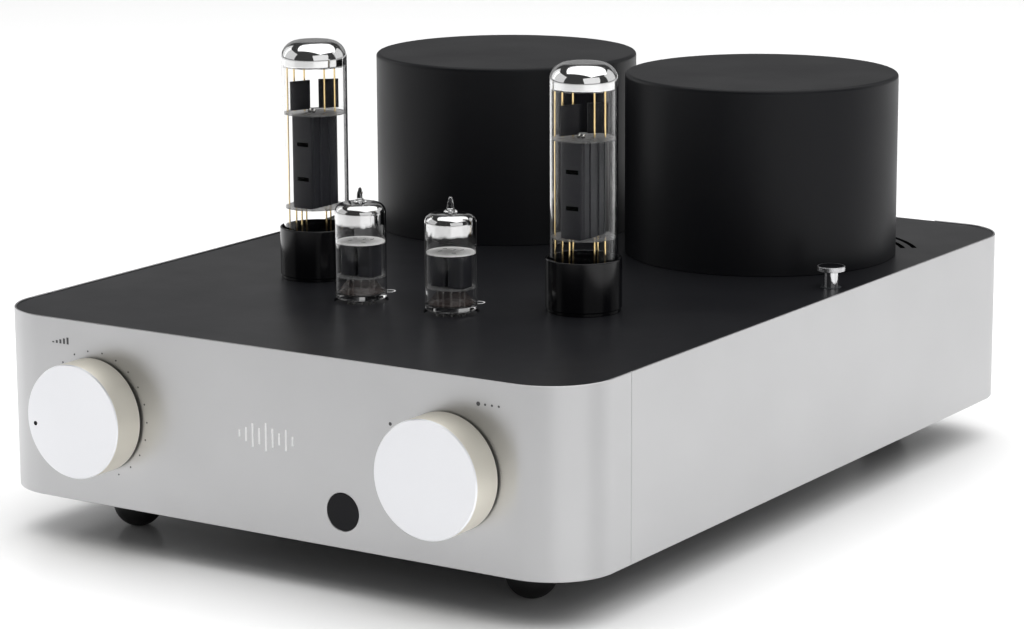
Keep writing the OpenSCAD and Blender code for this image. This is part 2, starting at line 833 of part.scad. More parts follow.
small_bulb(-1);  // small_valve_left_bulb
small_pins(-1);  // small_valve_left_pins
small_anodes(-1);  // small_valve_left_anodes
small_micas(-1);  // small_valve_left_micas
small_bulb(1);  // small_valve_right_bulb
small_pins(1);  // small_valve_right_pins
small_anodes(1);  // small_valve_right_anodes
small_micas(1);  // small_valve_right_micas
octal_sockets();
noval_sockets();
socket_contacts();
volume_knob();
volume_shaft();
volume_pot();
source_knob();
source_shaft();
selector_switch();
power_button();
power_switch();
mains_inlet();
fuse_drawer();
input_jacks();
speaker_posts();
post_cap(0);  // post_cap_1
post_cap(1);  // post_cap_2
post_cap(2);  // post_cap_3
post_cap(3);  // post_cap_4
main_board();
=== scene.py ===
import bmesh
import bpy
import math
from mathutils import Matrix, Vector


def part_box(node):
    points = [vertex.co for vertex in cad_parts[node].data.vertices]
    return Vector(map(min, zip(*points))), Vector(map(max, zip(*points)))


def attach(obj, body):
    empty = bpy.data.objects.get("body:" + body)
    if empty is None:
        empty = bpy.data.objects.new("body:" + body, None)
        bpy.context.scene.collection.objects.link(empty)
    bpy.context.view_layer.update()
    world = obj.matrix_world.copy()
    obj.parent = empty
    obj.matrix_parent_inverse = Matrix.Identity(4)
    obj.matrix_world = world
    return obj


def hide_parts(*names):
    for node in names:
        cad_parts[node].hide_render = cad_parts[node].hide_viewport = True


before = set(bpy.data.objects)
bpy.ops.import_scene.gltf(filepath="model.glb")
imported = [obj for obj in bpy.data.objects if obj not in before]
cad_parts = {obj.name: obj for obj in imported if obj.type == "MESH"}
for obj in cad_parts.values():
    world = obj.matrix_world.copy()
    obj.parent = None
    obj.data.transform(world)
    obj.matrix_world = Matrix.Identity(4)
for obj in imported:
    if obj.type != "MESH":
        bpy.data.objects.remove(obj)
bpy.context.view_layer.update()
MM = 0.001

# The camera stands to the right of the amplifier and looks down on it a little, with a long lens.
camera_data = bpy.data.cameras.new("studio_camera")
camera_data.sensor_width = 36.0
camera_data.lens = 116.86
camera_data.shift_x = 0.0232
camera_data.shift_y = -0.0133
camera_data.clip_end = 60.0
camera = bpy.data.objects.new("studio_camera", camera_data)
camera_turn = math.radians(33.378)
camera_tilt = math.radians(-11.867)
camera_roll = math.radians(-0.364)
camera_spot = Vector((0.8030, -1.2548, 0.3960))
camera.matrix_world = (
    Matrix.Translation(camera_spot)
    @ Matrix.Rotation(camera_turn, 4, "Z")
    @ Matrix.Rotation(math.pi / 2 + camera_tilt, 4, "X")
    @ Matrix.Rotation(camera_roll, 4, "Z")
)
bpy.context.scene.collection.objects.link(camera)
bpy.context.scene.camera = camera
bpy.context.scene.view_settings.view_transform = "Standard"

# The floor is one white sheet. The studio round it is dark, so that the softboxes draw clean shapes in
# the glass, and one more lamp reaches the floor alone and keeps it white.
floor_bm = bmesh.new()
bmesh.ops.create_grid(floor_bm, x_segments=1, y_segments=1, size=12.0)
floor_mesh = bpy.data.meshes.new("studio_floor")
floor_bm.to_mesh(floor_mesh)
floor_bm.free()


def new_material(name):
    """A material with one Principled shader, and that shader."""
    material = bpy.data.materials.new(name)
    material.use_nodes = True
    return material, material.node_tree.nodes["Principled BSDF"]


floor_white, floor_shader = new_material("floor_white")
floor_shader.inputs["Base Color"].default_value = (0.90, 0.90, 0.90, 1.0)
floor_shader.inputs["Roughness"].default_value = 0.22
floor_shader.inputs["Specular IOR Level"].default_value = 0.35
floor_mesh.materials.append(floor_white)
floor = bpy.data.objects.new("studio_floor", floor_mesh)
bpy.context.scene.collection.objects.link(floor)

world = bpy.data.worlds.new("studio")
world.use_nodes = True
world.node_tree.nodes["Background"].inputs["Color"].default_value = (1.0, 1.0, 1.0, 1.0)
world.node_tree.nodes["Background"].inputs["Strength"].default_value = 0.05
bpy.context.scene.world = world


def add_softbox(name, spot, target, width, height, radiance):
    """A rectangular softbox at spot that faces target, its brightness given as radiance."""
    lamp = bpy.data.lights.new(name, "AREA")
    lamp.shape = "RECTANGLE"
    lamp.size = width
    lamp.size_y = height
    lamp.energy = radiance * math.pi * width * height
    box = bpy.data.objects.new(name, lamp)
    aim = (Vector(target) - Vector(spot)).to_track_quat("-Z", "Y")
    box.matrix_world = Matrix.Translation(spot) @ aim.to_matrix().to_4x4()
    bpy.context.scene.collection.objects.link(box)
    return box


add_softbox("overhead_softbox", (0.6, 0.8, 3.2), (0.6, 0.8, 0.0), 5.5, 5.0, 1.7)
add_softbox("left_softbox", (-2.39, -1.02, 1.05), (0.0, 0.0, 0.2), 3.0, 1.8, 0.70)
add_softbox("right_softbox", (2.27, -1.26, 1.05), (0.0, 0.0, 0.2), 2.9, 1.8, 0.9)
add_softbox("rear_softbox", (1.50, 2.12, 1.05), (0.0, 0.0, 0.2), 2.4, 1.8, 0.72)
add_softbox("far_left_softbox", (-2.60, 0.45, 1.05), (0.0, 0.0, 0.2), 1.2, 1.8, 0.9)
add_softbox("back_softbox", (-2.00, 3.05, 1.0), (0.0, 0.0, 0.4), 5.0, 1.3, 0.26)
floor_lamp = add_softbox("floor_softbox", (-0.8, 2.2, 3.6), (-0.8, 2.2, 0.0), 12.0, 11.0, 1.1)
floor_only = bpy.data.collections.new("floor_only")
floor_only.objects.link(floor)
floor_lamp.light_linking.receiver_collection = floor_only

# The case band is aluminium sheet, bent, bead-blasted and clear anodised: a fascia that wraps both front
# corners and a panel on each side that wraps its rear corner, with thin dark joints. A rebate inside its
# top edge leaves a rim round the top plate. The fascia is bored for the two control bushes and the
# receiver window.
fascia_low, fascia_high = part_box("front_fascia")
side_low, side_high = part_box("right_side_panel")
plate_low, plate_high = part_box("top_plate")
front_y = fascia_low.y
rear_y = side_high.y
band_top = fascia_high.z
plate_top = plate_high.z
half_width = fascia_high.x
corner_radius = 28 * MM
wall = 2.4 * MM
rim = 0.9 * MM
edge_break = 0.22 * MM
volume_low, volume_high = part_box("volume_knob")
source_low, source_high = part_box("source_knob")
knob_z = (volume_low.z + volume_high.z) / 2
volume_x = (volume_low.x + volume_high.x) / 2
source_x = (source_low.x + source_high.x) / 2
window_low, window_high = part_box("receiver_window")
window_x = (window_low.x + window_high.x) / 2
window_z = (window_low.z + window_high.z) / 2
window_radius = 7.9 * MM
window_gap = 0.1 * MM
bush_bore = 5 * MM


def link_noise(material, scale, detail=2.0):
    """A noise texture on Object coordinates, its scale in cycles per metre."""
    nodes, links = material.node_tree.nodes, material.node_tree.links
    place = nodes.new("ShaderNodeTexCoord")
    noise = nodes.new("ShaderNodeTexNoise")
    noise.inputs["Scale"].default_value = scale
    noise.inputs["Detail"].default_value = detail
    links.new(place.outputs["Object"], noise.inputs["Vector"])
    return noise


def add_grain(material, shader, scale, depth):
    """Fine bumps from noise, with their depth in metres."""
    nodes, links = material.node_tree.nodes, material.node_tree.links
    noise = link_noise(material, scale)
    bump = nodes.new("ShaderNodeBump")
    bump.inputs["Distance"].default_value = depth
    links.new(noise.outputs["Fac"], bump.inputs["Height"])
    links.new(bump.outputs["Normal"], shader.inputs["Normal"])


def vary_roughness(material, shader, low, high, scale):
    """Roughness that wanders between two values, as handling and polishing leave it."""
    nodes, links = material.node_tree.nodes, material.node_tree.links
    noise = link_noise(material, scale, 3.0)
    spread = nodes.new("ShaderNodeMapRange")
    spread.inputs["From Min"].default_value = 0.3
    spread.inputs["From Max"].default_value = 0.7
    spread.inputs["To Min"].default_value = low
    spread.inputs["To Max"].default_value = high
    links.new(noise.outputs["Fac"], spread.inputs["Value"])
    links.new(spread.outputs["Result"], shader.inputs["Roughness"])


def surface(name, colour, roughness, metallic=0.0, grain=None, vary=0.0, vary_scale=25.0, specular=0.5):
    """An opaque finish: colour, mean roughness, how far that wanders, and grain as (scale, depth)."""
    material, shader = new_material(name)
    shader.inputs["Base Color"].default_value = (*colour, 1.0)
    shader.inputs["Metallic"].default_value = metallic
    shader.inputs["Roughness"].default_value = roughness
    shader.inputs["Specular IOR Level"].default_value = specular
    if vary:
        vary_roughness(material, shader, roughness - vary, roughness + vary, vary_scale)
    if grain:
        add_grain(material, shader, *grain)
    return material


anodised = surface("anodised_aluminium", (0.47, 0.47, 0.475), 0.34, metallic=1.0,
                   grain=(2600.0, 0.000012), vary=0.025)


def flat_box(bm, low, high):
    """Adds a box to a bmesh."""
    low, high = Vector(low), Vector(high)
    shape = Matrix.Translation((low + high) / 2) @ Matrix.Diagonal((*(high - low), 1.0))
    return bmesh.ops.create_cube(bm, size=1.0, matrix=shape)["verts"]


def rounded_block(low, high, radius, steps):
    """A block whose upright corners are round."""
    bm = bmesh.new()
    flat_box(bm, low, high)
    upright = [e for e in bm.edges if abs(e.verts[0].co.z - e.verts[1].co.z) > 0.5 * (high[2] - low[2])]
    bmesh.ops.bevel(bm, geom=upright, offset=radius, affect="EDGES", segments=steps, profile=0.5, material=-1)
    return bm


def sink(bm, face, inset, depth):
    """Leaves a rim of a level face and pushes the rest down; returns the sunk face."""
    bmesh.ops.inset_region(bm, faces=[face], thickness=inset, use_even_offset=True)
    made = bmesh.ops.extrude_face_region(bm, geom=[face])["geom"]
    bmesh.ops.translate(bm, verts=[v for v in made if isinstance(v, bmesh.types.BMVert)], vec=(0, 0, -depth))
    bmesh.ops.delete(bm, geom=[face], context="FACES_ONLY")
    return next(f for f in made if isinstance(f, bmesh.types.BMFace))


def whole_band():
    """The band before it is cut into fascia and side panels."""
    bm = rounded_block((-half_width, front_y, fascia_low.z), (half_width, rear_y, band_top),
                       corner_radius, 24)
    level = [f for f in bm.faces if abs(f.normal.z) > 0.9]
    bottom, top = sorted(level, key=lambda f: f.calc_center_median().z)
    ledge = sink(bm, top, rim, band_top - plate_low.z)
    floor_face = sink(bm, ledge, wall - rim, plate_low.z - fascia_low.z)
    loops = list(floor_face.edges) + list(bottom.edges)
    bmesh.ops.delete(bm, geom=[floor_face, bottom], context="FACES_ONLY")
    bmesh.ops.bridge_loops(bm, edges=loops)
    return bm


def cut_away(bm, point, normal):
    """Takes off what lies on the normal's side of a plane and closes the cut."""
    everything = bm.verts[:] + bm.edges[:] + bm.faces[:]
    bmesh.ops.bisect_plane(bm, geom=everything, plane_co=point, plane_no=normal, clear_outer=True)
    bmesh.ops.holes_fill(bm, edges=[e for e in bm.edges if e.is_boundary], sides=0)


def break_edges(bm, width):
    """Chamfers every edge sharper than 50 degrees, as deburring does."""
    sharp = [e for e in bm.edges if e.is_manifold and e.calc_face_angle() > math.radians(50)]
    bmesh.ops.bevel(bm, geom=sharp, offset=width, affect="EDGES", segments=1, profile=0.5, material=-1,
                    clamp_overlap=True)


def drill(bm, cutter):
    """Cuts one bmesh out of another and returns what is left."""
    objects = []
    for shape in (bm, cutter):
        mesh = bpy.data.meshes.new("drilling")
        shape.to_mesh(mesh)
        shape.free()
        objects.append(bpy.data.objects.new("drilling", mesh))
        bpy.context.scene.collection.objects.link(objects[-1])
    work, tool = objects
    modifier = work.modifiers.new("holes", "BOOLEAN")
    modifier.object = tool
    modifier.operation = "DIFFERENCE"
    modifier.solver = "EXACT"
    drilled = bpy.data.meshes.new_from_object(work.evaluated_get(bpy.context.evaluated_depsgraph_get()))
    result = bmesh.new()
    result.from_mesh(drilled)
    for mesh in [o.data for o in objects] + [drilled]:
        bpy.data.meshes.remove(mesh)
    return result


def facing_front(x, y, z):
    """A place whose +Z points out of the fascia, with +Y up."""
    return Matrix.Translation((x, y, z)) @ Matrix.Rotation(math.pi / 2, 4, "X")


fascia_bm = whole_band()
cut_away(fascia_bm, (0, fascia_high.y, 0), (0, 1, 0))
bores_bm = bmesh.new()
for bore_x, bore_z, bore_radius in (
    (volume_x, knob_z, bush_bore), (source_x, knob_z, bush_bore),
    (window_x, window_z, window_radius + window_gap),
):
    bore_place = facing_front(bore_x, front_y + 2 * wall, bore_z)
    bmesh.ops.create_cone(bores_bm, cap_ends=True, segments=72, radius1=bore_radius, radius2=bore_radius,
                          depth=8 * wall, matrix=bore_place)
fascia_bm = drill(fascia_bm, bores_bm)
break_edges(fascia_bm, edge_break)


def add_piece(name, bm, body, material, replaces=(), crease=35):
    """Makes a bmesh an object of the amplifier: smooth except over creases, riding on a CAD body."""
    mesh = bpy.data.meshes.new(name)
    bm.to_mesh(mesh)
    bm.free()
    mesh.materials.append(material)
    mesh.shade_smooth()
    mesh.set_sharp_from_angle(angle=math.radians(crease))
    piece = bpy.data.objects.new(name, mesh)
    bpy.context.scene.collection.objects.link(piece)
    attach(piece, body)
    if replaces:
        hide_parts(*replaces)
    return piece


add_piece("fascia_shell", fascia_bm, "chassis", anodised, ["front_fascia"])

for side_name, side in (("left", -1), ("right", 1)):
    panel_bm = whole_band()
    cut_away(panel_bm, (0, side_low.y, 0), (0, -1, 0))
    cut_away(panel_bm, (side * side_low.x, 0, 0), (-side, 0, 0))
    break_edges(panel_bm, edge_break)
    add_piece(side_name + "_side_shell", panel_bm, "chassis", anodised,
              [side_name + "_side_panel"])

# The plates are steel, powder-coated in a fine satin black. The joining brackets, posts and bolts are
# zinc plated.
satin_black = surface("satin_black_coat", (0.0115, 0.0118, 0.0140), 0.34, grain=(1500.0, 0.000012), vary=0.03,
                      specular=0.26)


def finish_node(name, material):
    """Gives a CAD node that keeps its own mesh a better material."""
    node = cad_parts[name]
    node.data.materials.clear()
    node.data.materials.append(material)


for plate_node in ("top_plate", "bottom_plate", "rear_panel"):
    finish_node(plate_node, satin_black)
steel = surface("zinc_plated_steel", (0.52, 0.52, 0.50), 0.34, metallic=1.0, grain=(900.0, 0.00001),
                vary=0.06)
steel_nodes = ("seam_brackets", "frame_posts", "foot_screws", "toroid_bolts", "volume_shaft", "source_shaft")
for steel_node in steel_nodes:
    finish_node(steel_node, steel)
finish_node("chassis_screws", surface("black_oxide", (0.02, 0.02, 0.02), 0.32, metallic=0.6, vary=0.05))

# The transformer covers are deep-drawn steel cans with a tight radius round the top, coated in a finer
# black than the plates. Each stands on the top plate over its transformer.
cover_black = surface("cover_black_coat", (0.0085, 0.0088, 0.0105), 0.42, grain=(1300.0, 0.000012), vary=0.03,
                      specular=0.16)
cover_sheet = 1.5 * MM


def fillet(corners, steps=6, guard=0.15):
    """A profile through (radius, height, fillet) corners: each fillet becomes an arc between two guard
    points, which keep the flats beside it shaded flat."""
    points = []
    for i, (r, z, radius) in enumerate(corners):
        if radius == 0 or i in (0, len(corners) - 1):
            points.append((r, z))
            continue
        corner = Vector((r, z, 0))
        back = (Vector((*corners[i - 1][:2], 0)) - corner).normalized()
        onward = (Vector((*corners[i + 1][:2], 0)) - corner).normalized()
        half = back.angle(onward) / 2
        reach = radius / math.tan(half)
        centre = corner + (back + onward).normalized() * radius / math.sin(half)
        start = (corner + back * reach - centre).normalized()
        end = (corner + onward * reach - centre).normalized()
        arc = [centre + radius * start.slerp(end, k / steps) for k in range(steps + 1)]
        arc = [arc[0] + back * radius * guard] + arc + [arc[-1] + onward * radius * guard]
        points += [(p.x, p.y) for p in arc]
    return points


def lathe(points, place, steps=96, closed=False):
    """Turns a profile of (radius, height) points about its own +Z, then puts it in place."""
    bm = bmesh.new()
    verts = [bm.verts.new((r, 0.0, z)) for r, z in points]
    edges = [bm.edges.new(pair) for pair in zip(verts, verts[1:])]
    if closed:
        edges.append(bm.edges.new((verts[-1], verts[0])))
    bmesh.ops.spin(bm, geom=verts + edges, cent=(0, 0, 0), axis=(0, 0, 1), dvec=(0, 0, 0),
                   angle=math.tau, steps=steps, use_merge=True)
    bmesh.ops.remove_doubles(bm, verts=bm.verts, dist=1e-7)
    bmesh.ops.recalc_face_normals(bm, faces=bm.faces)
    bmesh.ops.transform(bm, matrix=place, verts=bm.verts)
    return bm


def upright_at(x, y, z):
    """A place whose +Z is up."""
    return Matrix.Translation((x, y, z))


for side_name in ("left", "right"):
    cover_low, cover_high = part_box("transformer_cover_" + side_name)
    cover_radius = (cover_high.x - cover_low.x) / 2
    cover_tall = cover_high.z - cover_low.z
    inside = cover_radius - cover_sheet
    cover_profile = fillet([
        (0, cover_tall, 0), (cover_radius, cover_tall, 1.7 * MM), (cover_radius, 0, 0.35 * MM),
        (inside, 0, 0), (inside, cover_tall - cover_sheet, 0), (0, cover_tall - cover_sheet, 0),
    ])
    cover_place = upright_at((cover_low.x + cover_high.x) / 2, (cover_low.y + cover_high.y) / 2, cover_low.z)
    add_piece(side_name + "_cover_can", lathe(cover_profile, cover_place, 160), "chassis",
              cover_black, ["transformer_cover_" + side_name])

# Under each cover stands a toroid wrapped in amber film, held between rubber pads by a dished washer and
# a bolt.
pad_rubber = surface("pad_rubber", (0.02, 0.02, 0.02), 0.7, grain=(1800.0, 0.00003), vary=0.05)
finish_node("toroid_washers", pad_rubber)
film = surface("winding_film", (0.55, 0.36, 0.10), 0.3, grain=(260.0, 0.0002))
for toroid_node in ("output_toroid_left", "output_toroid_right", "mains_toroid"):
    finish_node(toroid_node, film)

# The feet are moulded rubber domes with a small flat tread, each screwed to the bottom plate. Their arc
# runs from the edge of the tread to the full width.
rubber = surface("foot_rubber", (0.008, 0.008, 0.008), 0.55, grain=(1800.0, 0.00003), vary=0.05)
feet_low, feet_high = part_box("feet")
foot_radius = 11 * MM
tread_radius = 3 * MM
foot_centre_z = math.sqrt(foot_radius**2 - tread_radius**2)
foot_tall = feet_high.z - feet_low.z
feet_bm = bmesh.new()
tread_angle = math.asin(tread_radius / foot_radius)
arc_steps = 16
foot_angles = [tread_angle + (math.pi / 2 - tread_angle) * k / arc_steps for k in range(arc_steps + 1)]
foot_arc = [(foot_radius * math.sin(a), foot_centre_z - foot_radius * math.cos(a)) for a in foot_angles]
foot_profile = [(0, 0)] + foot_arc + [(foot_radius, foot_tall), (0, foot_tall)]


def join_shape(bm, shape):
    """Adds one bmesh to another and frees it."""
    mesh = bpy.data.meshes.new("shape")
    shape.to_mesh(mesh)
    shape.free()
    bm.from_mesh(mesh)
    bpy.data.meshes.remove(mesh)


for foot_x in (feet_low.x + foot_radius, feet_high.x - foot_radius):
    for foot_y in (feet_low.y + foot_radius, feet_high.y - foot_radius):
        join_shape(feet_bm, lathe(foot_profile, upright_at(foot_x, foot_y, 0), 48))
add_piece("rubber_feet", feet_bm, "chassis", rubber, ["feet"])

# The receiver window is a polished black lens let into the fascia from behind, a hair below its surface.
# A flange behind the fascia holds it.
window_black = surface("window_black", (0.004, 0.004, 0.006), 0.06, vary=0.02, specular=0.15)
window_depth = window_high.y - window_low.y
window_sunk = 0.1 * MM
flange_radius = window_radius + 2 * MM
window_profile = fillet([
    (0, -window_sunk, 0), (window_radius, -window_sunk, 0.25 * MM), (window_radius, -wall, 0),
    (flange_radius, -wall, 0), (flange_radius, -window_depth, 0), (0, -window_depth, 0),
])
add_piece("window_lens", lathe(window_profile, facing_front(window_x, front_y, window_z)), "chassis",
          window_black, ["receiver_window"])

# The circuit boards are green laminate: the main board stands on pillars over the bottom plate, and the
# receiver's small board sits behind the window.
board_green = surface("board_green", (0.02, 0.09, 0.04), 0.4, vary=0.08)
for board_node in ("receiver_board", "main_board"):
    finish_node(board_node, board_green)

# The knobs are turned from solid aluminium, clear anodised: a fine-turned face and a blasted rim, with a
# bright chamfer between them. The rim is rougher than the face and painted a brighter, warmer colour; that
# extra brightness is painted light, making up for light the rim does not catch. The volume knob has a black
# dot.
knob_face = surface("knob_face", (0.84, 0.845, 0.87), 0.38, metallic=0.75, grain=(2200.0, 0.00001), vary=0.02)
knob_rim_painted_light = surface("knob_rim_painted_light", (0.97, 0.93, 0.82), 0.44, metallic=0.7, grain=(2200.0, 0.000012), vary=0.03)
knob_radius = (volume_high.x - volume_low.x) / 2
knob_length = volume_high.y - volume_low.y
knob_chamfer = 0.5 * MM
back_chamfer = 0.3 * MM
flat_guard = 1.2 * MM
hollow_radius = 10 * MM
hollow_depth = 4 * MM
knob_profile = [
    (0, knob_length), (knob_radius - flat_guard, knob_length), (knob_radius - knob_chamfer, knob_length),
    (knob_radius, knob_length - knob_chamfer), (knob_radius, knob_length - flat_guard),
    (knob_radius, back_chamfer + 0.5 * MM), (knob_radius, back_chamfer), (knob_radius - back_chamfer, 0),
    (hollow_radius, 0), (hollow_radius, hollow_depth), (0, hollow_depth),
]
for control, knob_x in (("volume", volume_x), ("source", source_x)):
    knob_bm = lathe(knob_profile, facing_front(knob_x, volume_high.y, knob_z), 144)
    for face in knob_bm.faces:
        face.material_index = 0 if face.normal.y < -0.5 else 1
    knob = add_piece(control + "_knob_turned", knob_bm, control + "_knob", knob_face,
                     [control + "_knob"])
    knob.data.materials.append(knob_rim_painted_light)
dot_angle = math.radians(-98.6)
dot_reach = 20.4 * MM
dot_radius = 0.95 * MM
ink_black = surface("ink_black", (0.004, 0.004, 0.005), 0.4, vary=0.05, specular=0.1)
dot_bm = bmesh.new()
dot_place = facing_front(volume_x + dot_reach * math.sin(dot_angle), volume_low.y,
                         knob_z + dot_reach * math.cos(dot_angle))
bmesh.ops.create_cone(dot_bm, cap_ends=True, segments=32, radius1=dot_radius, radius2=dot_radius,
                      depth=0.04 * MM, matrix=dot_place)
add_piece("volume_dot", dot_bm, "volume_knob", ink_black)

# Behind the knobs sit a motorised potentiometer and a rotary switch, each held by a bush and a nut, and
# a push switch stands under the power button. All three have moulded grey bodies.
moulded_grey = surface("moulded_grey", (0.05, 0.055, 0.06), 0.5, vary=0.05)
for switch_node in ("volume_pot", "selector_switch", "power_switch"):
    finish_node(switch_node, moulded_grey)

# The marks on the fascia are screen printed: a ring of dots round the volume knob, four dots beside the
# source knob, a small sign over each knob and a row of level bars in the middle.
ink_grey = surface("ink_grey", (0.06, 0.06, 0.065), 0.5, vary=0.05)
ink_white = surface("ink_white", (0.95, 0.95, 0.95), 0.5, vary=0.05)
ink_depth = 0.03 * MM


def printed_disc(bm, x, z, radius, segments=12):
    """Adds a flat dot of ink to the fascia."""
    bmesh.ops.create_cone(bm, cap_ends=True, segments=segments, radius1=radius, radius2=radius,
                          depth=ink_depth, matrix=facing_front(x, front_y - ink_depth / 2, z))


def printed_bar(bm, x, z, width, height):
    """Adds a flat bar of ink to the fascia, centred on (x, z)."""
    flat_box(bm, (x - width / 2, front_y - ink_depth, z - height / 2),
             (x + width / 2, front_y, z + height / 2))


grey_bm = bmesh.new()
scale_radius = 27.2 * MM
scale_start, scale_step = -155.9, 16.41
for step in range(20):
    angle = math.radians(scale_start + scale_step * step)
    printed_disc(grey_bm, volume_x + scale_radius * math.sin(angle), knob_z + scale_radius * math.cos(angle),
                 0.42 * MM)
mark_radius = 31.6 * MM
for step in range(4):
    angle = math.radians(-60 - 20 * step)
    printed_disc(grey_bm, source_x + mark_radius * math.sin(angle), knob_z + mark_radius * math.cos(angle),
                 0.75 * MM, 20)
sign_z = 69 * MM + fascia_low.z
volume_sign_x, source_sign_x = -112.6 * MM, 104.5 * MM
for step in range(5):
    sign_tall = (0.6 + 0.6 * step) * MM
    printed_bar(grey_bm, volume_sign_x + step * 2.0 * MM, sign_z + sign_tall / 2 - 0.9 * MM, 1.1 * MM,
                sign_tall)
for step in range(4):
    printed_disc(grey_bm, source_sign_x + step * 3.2 * MM, sign_z, 0.5 * MM if step else 0.9 * MM, 20)
add_piece("printed_scales", grey_bm, "chassis", ink_grey)
bars_bm = bmesh.new()
bar_heights = (3.0, 6.0, 10.0, 7.0, 12.0, 8.0, 5.0, 9.0, 4.0)
bars_z = 41.5 * MM + fascia_low.z
bar_pitch = 3.4 * MM
for step, tall in enumerate(bar_heights):
    printed_bar(bars_bm, (step - 4) * bar_pitch, bars_z, 0.9 * MM, tall * MM)
add_piece("printed_bars", bars_bm, "chassis", ink_white)

# Each power valve is a straight clear bulb cemented into a moulded black base. A mirror of getter metal
# covers the inside of its dome. Inside stand a grey folded anode between two mica discs, gilt support
# rods and two dark fins.
power_low, power_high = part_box("power_valve_left_bulb")
base_low, base_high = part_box("power_valve_left_base")
mica_low, mica_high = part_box("power_valve_left_micas")
anode_low, anode_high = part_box("power_valve_left_anode")


def clear_glass(name, gloss):
    """Clear glass that lets lamp light through; gloss scales what its faces reflect head on."""
    material, shader = new_material(name)
    shader.inputs["Base Color"].default_value = (1.0, 1.0, 1.0, 1.0)
    shader.inputs["Roughness"].default_value = 0.0
    shader.inputs["IOR"].default_value = 1.47
    shader.inputs["Transmission Weight"].default_value = 1.0
    shader.inputs["Specular Tint"].default_value = (gloss, gloss, gloss, 1.0)
    nodes, links = material.node_tree.nodes, material.node_tree.links
    path = nodes.new("ShaderNodeLightPath")
    clear = nodes.new("ShaderNodeBsdfTransparent")
    mix = nodes.new("ShaderNodeMixShader")
    links.new(path.outputs["Is Shadow Ray"], mix.inputs["Fac"])
    links.new(shader.outputs["BSDF"], mix.inputs[1])
    links.new(clear.outputs["BSDF"], mix.inputs[2])
    links.new(mix.outputs["Shader"], nodes["Material Output"].inputs["Surface"])
    return material


def getter_mirror(name, edge_z, fade, shine):
    """A silvery mirror that thins out at its lower edge."""
    material, shader = new_material(name)
    shader.inputs["Base Color"].default_value = (shine, shine, shine, 1.0)
    shader.inputs["Metallic"].default_value = 1.0
    shader.inputs["Roughness"].default_value = 0.05
    nodes, links = material.node_tree.nodes, material.node_tree.links
    noise = link_noise(material, 260.0)
    split = nodes.new("ShaderNodeSeparateXYZ")
    links.new(nodes["Texture Coordinate"].outputs["Object"], split.inputs["Vector"])
    height = nodes.new("ShaderNodeMath")
    height.operation = "MULTIPLY_ADD"
    height.inputs[1].default_value = 2.0 * fade
    links.new(noise.outputs["Fac"], height.inputs[0])
    links.new(split.outputs["Z"], height.inputs[2])
    thin = nodes.new("ShaderNodeMapRange")
    thin.inputs["From Min"].default_value = edge_z + fade
    thin.inputs["From Max"].default_value = edge_z + 2.0 * fade
    links.new(height.outputs["Value"], thin.inputs["Value"])
    links.new(thin.outputs["Result"], shader.inputs["Alpha"])
    return material


power_bulb = {
    "radius": (power_high.x - power_low.x) / 2, "top": power_high.z, "shoulder": 7.8 * MM, "crown": 0.5 * MM,
    "wall": 0.7 * MM, "glass": clear_glass("bulb_glass", 0.02),
}
power_mirror = getter_mirror("power_getter", plate_top + 95.0 * MM, 1.4 * MM, 0.80)
power_mirror_bottom = plate_top + 95.5 * MM
base_black = surface("moulded_black", (0.003, 0.003, 0.004), 0.17, vary=0.03, grain=(700.0, 0.000006),
                     specular=0.35)
base_radius = (base_high.x - base_low.x) / 2
base_foot = plate_top + 0.2 * MM
base_tall = base_high.z - base_foot
base_lip = 1.4 * MM
base_floor = 2 * MM
recess = base_radius - 0.9 * MM
bore = power_bulb["radius"] + 0.02 * MM
key_radius = 3.9 * MM
anode_grey = surface("carbonised_nickel", (0.013, 0.0133, 0.017), 0.45, vary=0.05, vary_scale=90.0,
                     specular=0.35)
anode_half_x, anode_half_y, fold = 5.3 * MM, 10.3 * MM, 0.9 * MM
anode_top = mica_high.z - 0.5 * MM
# Painted shade: a flat black that stands in for the dark seen through the slots in the anodes and in the
# small valves' micas.
slot_painted_shade = surface("slot_painted_shade", (0.001, 0.001, 0.001), 0.9, vary=0.05, specular=0.0)
slot_tall = 1.9 * MM
slot_skin = 0.03 * MM
fin_grey = surface("blackened_fin", (0.004, 0.004, 0.006), 0.5, vary=0.05, vary_scale=90.0, specular=0.2)
fin_half_thick = 0.3 * MM
mica = surface("mica_sheet", (0.16, 0.16, 0.16), 0.30, vary=0.08, vary_scale=300.0)
mica.node_tree.nodes["Principled BSDF"].inputs["Alpha"].default_value = 0.6
mica_thick = 0.4 * MM
mica_radius = power_bulb["radius"] - power_bulb["wall"] - 0.2 * MM
mica_teeth = 12
gilt = surface("gilt_rod", (1.0, 0.76, 0.36), 0.2, metallic=1.0, vary=0.04, vary_scale=200.0)
gilt_radius = 0.38 * MM
nickel = surface("bright_nickel", (0.75, 0.74, 0.72), 0.18, metallic=1.0, vary=0.04, vary_scale=200.0)


def bulb_profile(bulb, foot, inset=0.0):
    """Half a bulb's outline, inset from its outer face: from its axis at the foot up to its domed crown."""
    radius, top, shoulder = (bulb[size] - inset for size in ("radius", "top", "shoulder"))
    corners = [(0, foot, 0), (radius, foot, 1.0 * MM), (radius, top - bulb["crown"], shoulder), (0, top, 0)]
    return fillet(corners, 16, 0.02)


def add_bulb(valve, x, y, bulb, foot, inner_foot):
    """A bulb as glass is: an outer and an inner wall."""
    bm = lathe(bulb_profile(bulb, foot), upright_at(x, y, 0), 128)
    inner_bm = lathe(bulb_profile(bulb, inner_foot, bulb["wall"]), upright_at(x, y, 0), 128)
    bmesh.ops.reverse_faces(inner_bm, faces=inner_bm.faces)
    join_shape(bm, inner_bm)
    add_piece(valve + "_glass", bm, valve, bulb["glass"], [valve + "_bulb"], crease=60)


